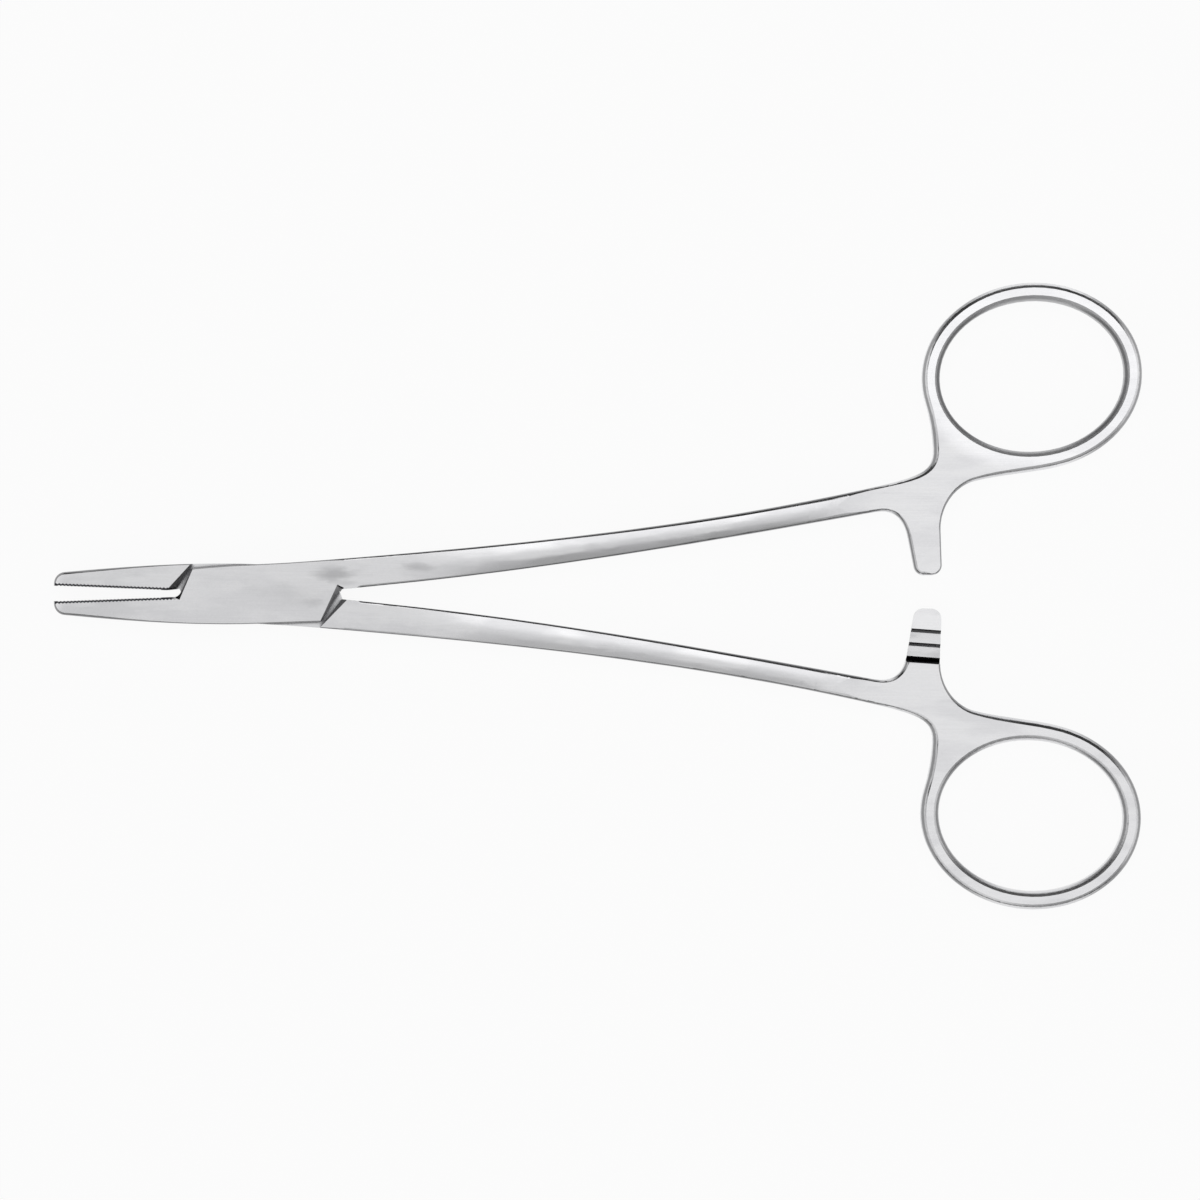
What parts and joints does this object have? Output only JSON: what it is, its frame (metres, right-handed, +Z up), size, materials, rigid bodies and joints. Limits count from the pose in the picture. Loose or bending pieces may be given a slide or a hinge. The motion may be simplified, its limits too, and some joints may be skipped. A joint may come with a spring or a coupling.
{
  "type": "surgical needle holder",
  "caption": "Plain steel surgical needle holder with a box lock, short serrated jaws, slender shanks, a toothed ratchet and oval finger rings, lying flat and slightly open.",
  "frame": {"origin": "on the axis of the pivot, at the flat underside of the box lock", "axes": "+X along the instrument from the pivot to the finger rings, +Y to the side of the box half's ring, +Z up out of the surface that it lies on"},
  "size_m": [0.15, 0.0864, 0.0046],
  "materials": {
    "satin_steel": "satin ground and brushed",
    "pin_steel": "ground flush with the box"
  },
  "bodies": {
    "box_side": {"box_half": "satin_steel", "pivot_pin": "pin_steel"},
    "tongue_side": {"tongue_half": "satin_steel"}
  },
  "joints": [
    {"name": "lock_hinge", "type": "hinge", "parent": "box_side", "child": "tongue_side", "pos_m": [0, 0, 0.0023], "axis": [0, 0, 1], "range_deg": [-35.7, 4.3]}
  ]
}
